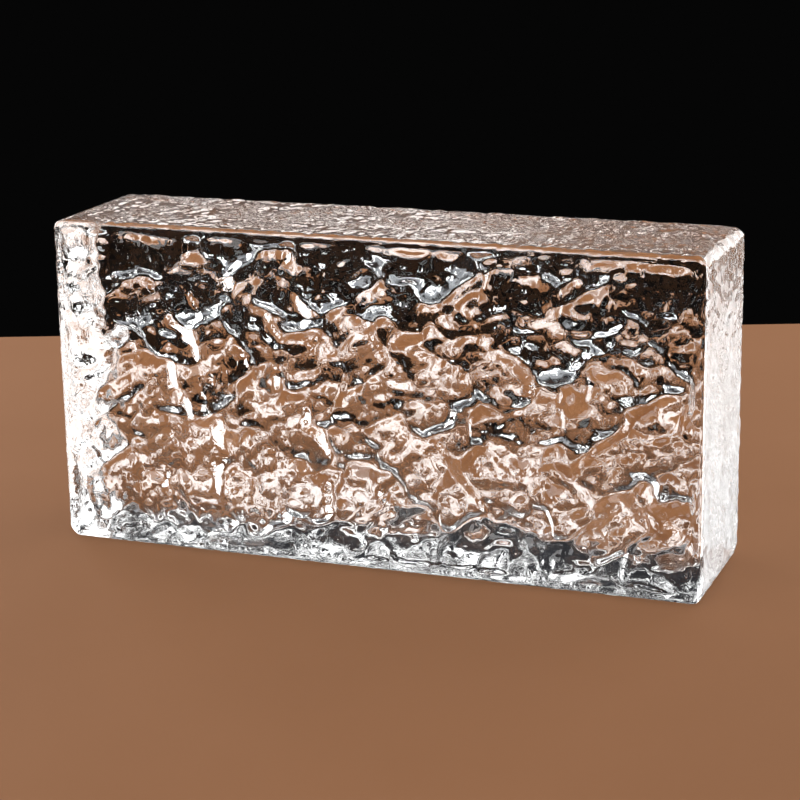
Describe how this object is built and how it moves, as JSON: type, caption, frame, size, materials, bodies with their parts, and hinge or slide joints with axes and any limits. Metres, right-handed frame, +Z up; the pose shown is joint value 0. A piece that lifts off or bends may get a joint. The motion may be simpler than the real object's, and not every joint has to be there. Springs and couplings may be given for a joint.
{
  "type": "solid glass brick",
  "caption": "Solid clear cast glass brick with a moulded rock-textured front, rounded edges and plain bed, end and back faces for laying in a wall.",
  "frame": {"origin": "centre of the bed face that the brick stands on", "axes": "+X along the length, +Y from the rock face to the back, +Z up"},
  "size_m": [0.2, 0.05, 0.1],
  "materials": {
    "cast_glass": "clear fire-polished cast glass, rock relief on the front, fine cast ripple on the other faces"
  },
  "bodies": {
    "root": {"glass_brick": "cast_glass"}
  },
  "joints": []
}
